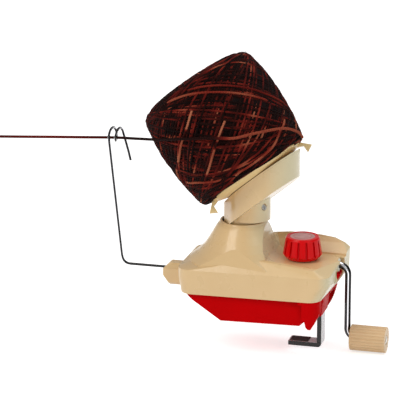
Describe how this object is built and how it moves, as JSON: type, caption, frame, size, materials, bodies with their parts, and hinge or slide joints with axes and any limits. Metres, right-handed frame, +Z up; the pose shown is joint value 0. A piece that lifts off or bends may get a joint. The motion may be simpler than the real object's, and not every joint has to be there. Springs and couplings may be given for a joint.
{
  "type": "yarn ball winder",
  "caption": "Table-clamped hand-crank yarn ball winder: geared rotor, leaning spool with a wound ball, wire yarn guide, crank with grip and screw clamp.",
  "frame": {"origin": "on the flat underside of the lower tray, where the rotor axis meets it, which is level with the top of the table", "axes": "+Z up along the rotor axis, +X towards the crank, -X towards the yarn guide, -Y towards the viewer of the picture"},
  "size_m": [0.417, 0.1385, 0.2989],
  "materials": {
    "cream": "satin",
    "red": "glossy",
    "grip": "satin",
    "flange": "satin",
    "cone": "matte",
    "gear": "matte",
    "rod": "polished",
    "bar": "polished",
    "wire": "satin",
    "steel": "satin",
    "clip": "satin",
    "cap": "polished",
    "pad": "matte",
    "core": "fuzzy",
    "yarn": "fuzzy",
    "strand": "fuzzy"
  },
  "bodies": {
    "base": {"upper_housing": "cream", "lower_tray": "red", "housing_screws": "steel", "neck_bush": "gear", "centre_post": "steel", "fixed_bevel": "gear", "drive_gear_axle": "steel", "axle_clip": "clip", "crank_bush": "gear", "knob_washer": "steel", "guide_socket": "cream", "guide_screw": "steel", "yarn_strand": "strand"},
    "rotor": {"rotor_shaft": "gear", "rotor_head": "cream", "rotor_head_cover": "cream", "rotor_screw": "steel", "spool_shaft": "steel", "spool_retainer": "clip"},
    "spool": {"spool_gear": "gear", "spool_flange": "flange", "spool_cone": "cone"},
    "ball": {"yarn_core": "core", "yarn_winding": "yarn"},
    "crank": {"crank_rod": "rod", "crank_pinion": "gear", "crank_collar": "steel", "grip_rivet": "steel"},
    "grip": {"crank_grip": "grip"},
    "drive": {"drive_gear": "gear"},
    "knob": {"clamp_knob": "red", "knob_cap": "cap", "clamp_screw": "steel"},
    "clamp": {"clamp_bar": "bar", "clamp_nut": "steel", "clamp_pad": "pad"},
    "guide": {"guide_wire": "wire"}
  },
  "joints": [
    {"name": "rotor_turn", "type": "hinge", "parent": "base", "child": "rotor", "pos_m": [0, 0, 0.0745], "axis": [0, 0, 1], "continuous": true, "deforming": ["yarn_strand"]},
    {"name": "crank_turn", "type": "hinge", "parent": "base", "child": "crank", "pos_m": [0.095, 0.009, 0.052], "axis": [1, 0, 0], "continuous": true},
    {"name": "drive_turn", "type": "hinge", "parent": "base", "child": "drive", "pos_m": [0.02927, 0.009, 0.037], "axis": [0, 0, 1], "continuous": true},
    {"name": "spool_turn", "type": "hinge", "parent": "rotor", "child": "spool", "pos_m": [0.01475, -0.00327, 0.14385], "axis": [-0.6144, 0.1362, 0.7771], "continuous": true},
    {"name": "ball_lift", "type": "slide", "parent": "spool", "child": "ball", "axis": [-0.6144, 0.1362, 0.7771], "range_m": [0, 0.1]},
    {"name": "grip_spin", "type": "hinge", "parent": "crank", "child": "grip", "pos_m": [0.13, 0.009, -0.023], "axis": [1, 0, 0], "continuous": true},
    {"name": "knob_turn", "type": "hinge", "parent": "base", "child": "knob", "pos_m": [0.061, 0, 0.07], "axis": [0, 0, 1], "range_deg": [-2880.5, 2520.5]},
    {"name": "bar_slide", "type": "slide", "parent": "base", "child": "clamp", "axis": [0, 0, 1], "range_m": [-0.014, 0.016]},
    {"name": "guide_turn", "type": "hinge", "parent": "base", "child": "guide", "pos_m": [-0.07, 0, 0.038], "axis": [1, 0, 0], "range_deg": [-100, 100]}
  ],
  "couplings": [
    {"joint": "crank_turn", "follows": "rotor_turn", "ratio": 0.5307},
    {"joint": "drive_turn", "follows": "rotor_turn", "ratio": -0.28947},
    {"joint": "spool_turn", "follows": "rotor_turn", "ratio": 0.34615},
    {"joint": "knob_turn", "follows": "bar_slide", "rad_per_m": -3141.6}
  ]
}
